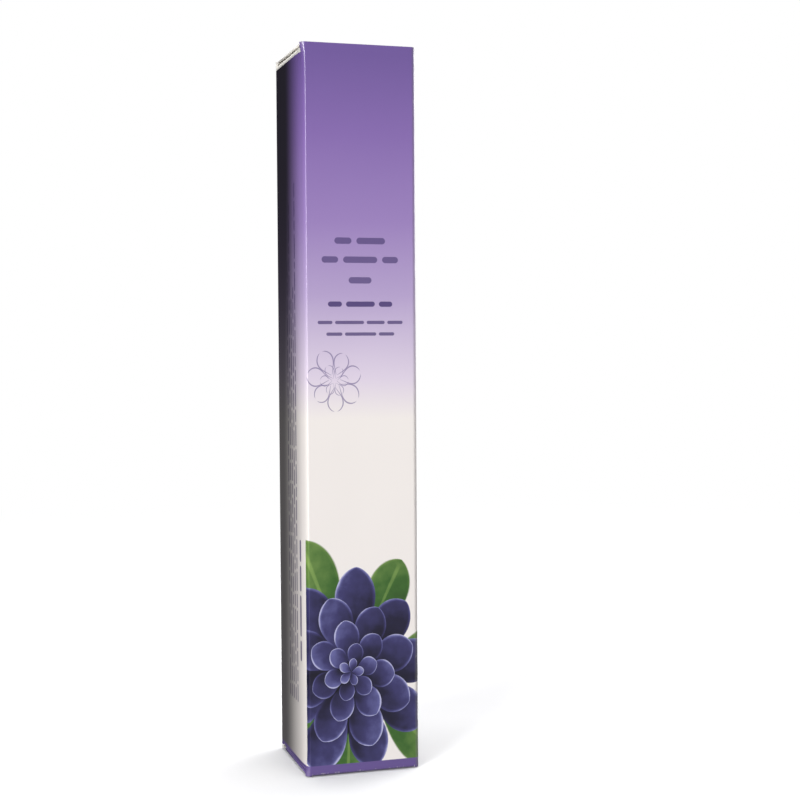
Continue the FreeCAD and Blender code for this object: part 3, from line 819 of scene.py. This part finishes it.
def crease_skin(name, fold, along, ends, into_first, into_second, turn, materials):
    """The thin outer skin that bends round a fold, from one board's edge to the other's."""
    opening = into_first.angle(into_second)
    reach = skin_reach(opening)
    radius = reach * math.tan(opening / 2)
    centre = (into_first + into_second).normalized() * (radius / math.sin(opening / 2))
    start = into_first * reach - centre
    normal = start.cross(into_second * reach - centre).normalized()
    columns = spread(*ends, SKIN_COLUMNS)
    rows = spread(0.0, math.pi - opening, SKIN_ROWS)

    def at(place, angle, depth):
        arm = Matrix.Rotation(angle, 3, normal) @ start
        arm = arm * ((radius - SKIN * depth / board) / radius)
        return turn(fold + along * place + centre + arm)

    piece = add_piece(name, grid_bmesh(columns, rows, at), materials, None)
    begin, finish = [turn(fold + way * reach) * MM for way in (into_first, into_second)]
    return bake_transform(piece)


UP = Vector((0, 0, 1))
RIGHT = Vector((1, 0, 0))
BACK = Vector((0, 1, 0))


def swung(turn, way):
    """A direction carried by a turn."""
    return turn(way) - turn(Vector())


def carton_end(end, turn, lid_boards, dust_boards):
    """One end of the carton: lid, tuck flap and dust flaps with the skins of their four folds."""
    lid_fold = folds["top_lid_hinge"]
    tuck_fold = folds["top_tuck_hinge"]
    dust_fold = folds["top_dust_right_hinge"]
    square = skin_reach(math.pi / 2)
    tuck_way = BACK * math.sin(TUCK_TILT) - UP * math.cos(TUCK_TILT)
    slant = skin_reach(math.pi / 2 - TUCK_TILT)

    def cut(fold, way, reach):
        return turn(fold + way * reach), swung(turn, way)

    lid = f"{end}_lid"
    tuck = f"{end}_tuck_flap"
    lid_cuts = [cut(lid_fold, -BACK, square), cut(tuck_fold, BACK, slant)]
    flap(lid, lid, swung(turn, UP), lid_cuts, lid_boards)
    tuck_out = -BACK * math.cos(TUCK_TILT) - UP * math.sin(TUCK_TILT)
    tuck_cuts = [cut(tuck_fold, tuck_way, slant)]
    flap(tuck, tuck, swung(turn, tuck_out), tuck_cuts, lid_boards)
    fold_half = half_width - FOLD_INSET - SKIN_END_GAP
    tuck_end = tuck_half - SKIN_END_GAP
    crease_skin(
        f"{end}_lid_crease", lid_fold, RIGHT,
        (-fold_half, fold_half), -UP, -BACK, turn, lid_boards,
    )
    crease_skin(
        f"{end}_tuck_crease", tuck_fold, RIGHT,
        (-tuck_end, tuck_end), BACK, tuck_way, turn, lid_boards,
    )
    for side, hand in ((-1, "left"), (1, "right")):
        node = f"{end}_dust_flap_{hand}"
        fold = Vector((side * dust_fold.x, dust_fold.y, dust_fold.z))
        inwards = -RIGHT * side
        flap(node, node, swung(turn, UP), [cut(fold, inwards, square)], dust_boards)
        ends = (dust_low.y + SKIN_END_GAP, dust_high.y - SKIN_END_GAP)
        crease_skin(
            f"{end}_dust_crease_{hand}", fold, BACK,
            ends, -UP, inwards, turn, dust_boards,
        )


def make_carton():
    """Four panels, the glue flap and the two ends, where the bottom's cut edges and the rim inside its lid
    get the band's violet as painted shade.
    """
    raw = raw_board("raw_board")
    edge = cut_edge("cut_edge")
    wrapped_panel("front_panel", same, True, [printed("print_front", front_art, 0.0), raw, edge])
    wrapped_panel("back_panel", other_end, False, [printed("print_back", back_art, 0.0), raw, edge])
    # the side panels' print, with painted shade over it
    side_print_and_shade = printed("print_side_with_painted_shade", side_art, height - left_high.z + BARE_AND_HIGHLIGHT_MARGIN)
    flat_panel("left_panel", -1, [side_print_and_shade, raw, edge])
    flat_panel("right_panel", 1, [side_print_and_shade, raw, edge])
    flap("glue_flap", "carton", RIGHT, [], [raw, raw, edge])
    top = printed_flap("print_top", DEEP_VIOLET)
    bottom = printed_flap("print_bottom_and_edge_shade", BAND_VIOLET)
    carton_end("top", same, [top, raw, edge], [raw, raw, edge])
    shade_rim_board = raw_board("raw_board_shade_rim", PAINTED_SHADE_RIM)
    # painted shade: the bottom's cut edges take the printed violet and its lid's inside the shade rim, so
    # the gap at the foot reads dark
    carton_end("bottom", other_end, [bottom, shade_rim_board, bottom], [bottom, raw, bottom])


# Brush

HAIRS = 260
HAIR_RADIUS = 0.10
HAIR_SIDES = 5
HAIR_RINGS = 9
HAIR_TAPER = 0.75            # share of its thickness that a hair loses at its tip
HAIR_ROOT = 1.5              # how deep a hair starts inside the ferrule
HAIR_SWAY = 0.08
SWAY_REACH = 4               # how many times its sway a hair turns by the tip
TIP_GAP = 0.02               # shares of the free length by which hairs stop short
TIP_SPREAD = 0.16
HAIR_SEED = 7
GOLDEN_TURN = math.pi * (3 - math.sqrt(5))
BELLY_PLACE = 0.5            # share of the free length where the brush is fullest
WAIST = 0.88                 # radius at the ferrule against the belly's
TIP_POWERS = (2.6, 0.75)     # shape of the point


def brush_outline(share, belly):
    """The brush's radius at a share of its free length, pointed at the tip."""
    swell = math.sin(math.pi * min(share / BELLY_PLACE, 1.0) / 2) * (1 - WAIST) + WAIST
    return belly * swell * (1 - share ** TIP_POWERS[0]) ** TIP_POWERS[1]


def hair_ring(bm, middle, radius):
    """A level ring of points round the middle of a hair."""
    angles = spread(0.0, 2 * math.pi, HAIR_SIDES)[:-1]
    arms = [Vector((math.cos(angle), math.sin(angle), 0.0)) for angle in angles]
    return [bm.verts.new(middle + arm * radius) for arm in arms]


def close_hair(bm, rings):
    """Faces round a hair's rings and over its two ends."""
    for lower, upper in zip(rings, rings[1:]):
        for side in range(HAIR_SIDES):
            bm.faces.new((lower[side - 1], lower[side], upper[side], upper[side - 1]))
    bm.faces.new(rings[0][::-1])
    bm.faces.new(rings[-1])


def make_brush(material):
    """Hairs that leave the ferrule in a bundle and draw together at the tip."""
    chance = random.Random(HAIR_SEED)
    low, high = box_mm("brush")
    ferrule_top = box_mm("brush_ferrule")[1].z
    free = high.z - ferrule_top
    axis = (low + high) / 2
    belly = (high.x - low.x) / 2 - HAIR_RADIUS
    root = ferrule_top - HAIR_ROOT
    bm = bmesh.new()
    for hair in range(HAIRS):
        outward = math.sqrt((hair + 0.5) / HAIRS)
        tip = high.z - free * (TIP_GAP + TIP_SPREAD * chance.random() * outward)
        sway = chance.uniform(-HAIR_SWAY, HAIR_SWAY)
        rings = []
        for along in spread(0.0, 1.0, HAIR_RINGS - 1):
            z = root + (tip - root) * along
            share = max((z - ferrule_top) / free, 0.0)
            radius = outward * min(brush_outline(share, belly), belly)
            angle = hair * GOLDEN_TURN + sway * share * SWAY_REACH
            middle = Vector((axis.x + radius * math.cos(angle), axis.y + radius * math.sin(angle), z))
            rings.append(hair_ring(bm, middle, HAIR_RADIUS * (1 - HAIR_TAPER * along ** 3)))
        close_hair(bm, rings)
    piece = add_piece("brush_hairs", bm, [material], "pen")
    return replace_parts(piece, "brush")


def dress_pen():
    """Materials for the pen's solids, and its brush as separate hairs."""
    cloudy = dict(Transmission_Weight=0.2, Specular_IOR_Level=0.45)
    inner = moulded("inner_plastic", colour(222, 220, 212), 0.32, **cloudy)
    white = moulded("collar_plastic", colour(238, 236, 232), 0.24, Specular_IOR_Level=0.5)
    violet = moulded("knob_plastic", colour(112, 88, 156), 0.26, Coat_Weight=0.3, Coat_Roughness=0.12)
    metal = bright_metal()
    seal = rubber()
    clear = clear_plastic()
    finishes = {
        "outer_barrel": barrel_plastic(), "twist_knob": violet, "cap": clear,
        "trim_ring": metal, "brush_ferrule": metal, "front_collar": white, "cap_liner": white,
        "drive_spindle": inner, "ratchet_ring": inner, "nut_insert": inner, "screw_rod": inner,
        "reservoir_tube": inner, "feed_tube": inner, "piston": seal, "collar_o_ring": seal,
    }
    for node, material in finishes.items():
        mesh = frame["nodes"][node].data
        mesh.materials.clear()
        mesh.materials.append(material)
    make_brush(bristle())


# Studio


def make_camera():
    """The camera at its fitted place, with its roll applied to its right and top directions."""
    data = bpy.data.cameras.new("camera")
    data.sensor_width = SENSOR
    data.lens = SENSOR * FOCAL_PIXELS / FRAME_PIXELS
    data.clip_start, data.clip_end = CLIP
    camera = bpy.data.objects.new("camera", data)
    level = math.cos(CAMERA_PITCH)
    forward = Vector((math.sin(CAMERA_YAW) * level, math.cos(CAMERA_YAW) * level, math.sin(CAMERA_PITCH)))
    side = Vector((math.cos(CAMERA_YAW), -math.sin(CAMERA_YAW), 0.0))
    upward = side.cross(forward)
    right = side * math.cos(CAMERA_ROLL) + upward * math.sin(CAMERA_ROLL)
    top = upward * math.cos(CAMERA_ROLL) - side * math.sin(CAMERA_ROLL)
    turn = Matrix((right, top, -forward)).transposed().to_4x4()
    camera.matrix_world = Matrix.Translation(Vector(CAMERA_PLACE) * MM) @ turn
    bpy.context.scene.collection.objects.link(camera)
    bpy.context.scene.camera = camera


# Sizes of the studio are metres, apart from the fade, which the floor's paint takes in millimetres
WHITE = colour(255, 255, 255)
BLACK = colour(0, 0, 0)
FLOOR_GAP = 0.0002
FLOOR_RADIUS = 0.55
FLOOR_FADE = (60.0, 450.0)   # how far from its middle the floor begins and ends to melt into the backdrop
BACKDROP_RADIUS = 3.0
ROOM_DIM = colour(44, 44, 46)
ROOM_BRIGHT = colour(170, 170, 172)
ROOM_TURN = (-0.1, 0.3)      # sideways directions between which the room grows brighter
LIGHTS = {
    # place and size in metres, power in watts
    "key": ((-0.74, -0.70, 0.40), (0.40, 0.70), 16.8),
    "fill": ((1.00, 0.55, 0.45), (0.70, 0.70), 8.0),
    "top": ((0.05, 0.10, 1.60), (0.60, 0.60), 30.0),
}


def studio_object(name, bm, paint):
    """An object of the studio from a finished bmesh in metres."""
    mesh = bpy.data.meshes.new(name)
    bm.to_mesh(mesh)
    bm.free()
    mesh.materials.append(paint.material)
    item = bpy.data.objects.new(name, mesh)
    bpy.context.scene.collection.objects.link(item)
    return item


def make_floor():
    """A pale disc that takes the shadow and turns to plain white further out."""
    paint = Paint("floor", Specular_IOR_Level=0.0, Emission_Color=WHITE)
    pale = paint.grain(60.0).colours((0.3, colour(206, 206, 207)), (0.7, colour(212, 212, 213)))
    fade = (paint.x * paint.x + paint.y * paint.y).math("SQRT").rise(*FLOOR_FADE)
    paint.set("Base Color", fade.over(pale, BLACK))
    paint.set("Roughness", paint.grain(2.0) * 0.1 + 0.6)
    paint.set("Emission Strength", fade)
    bm = bmesh.new()
    bmesh.ops.create_circle(bm, cap_ends=True, segments=128, radius=FLOOR_RADIUS)
    floor = studio_object("floor", bm, paint)
    floor.location.z = -FLOOR_GAP
    floor.visible_diffuse = False
    floor.visible_glossy = False


def make_backdrop():
    """A plain white dome behind everything, which neither lights the object nor shows in its gloss."""
    glow = dict(Emission_Color=WHITE, Emission_Strength=1.0)
    paint = Paint("backdrop", Base_Color=BLACK, Roughness=1.0, Specular_IOR_Level=0.0, **glow)
    bm = bmesh.new()
    bmesh.ops.create_uvsphere(bm, u_segments=48, v_segments=24, radius=BACKDROP_RADIUS)
    dome = studio_object("backdrop", bm, paint)
    dome.visible_diffuse = False
    dome.visible_glossy = False
    dome.visible_transmission = False
    dome.visible_shadow = False


def area_light(name, place, size, power):
    """A rectangular light that looks at the middle of the carton."""
    data = bpy.data.lights.new(name, "AREA")
    data.shape = "RECTANGLE"
    data.size, data.size_y = size
    data.energy = power
    light = bpy.data.objects.new(name, data)
    light.location = place
    way = Vector((0.0, 0.0, height * MM / 2)) - Vector(place)
    light.rotation_mode = "QUATERNION"
    light.rotation_quaternion = way.to_track_quat("-Z", "Y")
    bpy.context.scene.collection.objects.link(light)


def make_world():
    """The light of a room that is dim on the left."""
    world = bpy.data.worlds.new("studio")
    bpy.context.scene.world = world
    world.use_nodes = True
    tree = world.node_tree
    place = tree.nodes.new("ShaderNodeTexCoord")
    split = tree.nodes.new("ShaderNodeSeparateXYZ")
    tree.links.new(place.outputs["Generated"], split.inputs[0])
    across = Field(tree, split.outputs[0]).rise(*ROOM_TURN)
    room = across.colours((0.0, ROOM_DIM), (1.0, ROOM_BRIGHT))
    feed(tree.nodes["Background"].inputs["Color"], room)


def make_studio():
    make_world()
    make_backdrop()
    make_floor()
    make_camera()
    for name, settings in LIGHTS.items():
        area_light(name, *settings)
    view = bpy.context.scene.view_settings
    view.view_transform = "Standard"
    view.look = "None"


make_studio()
make_carton()
dress_pen()
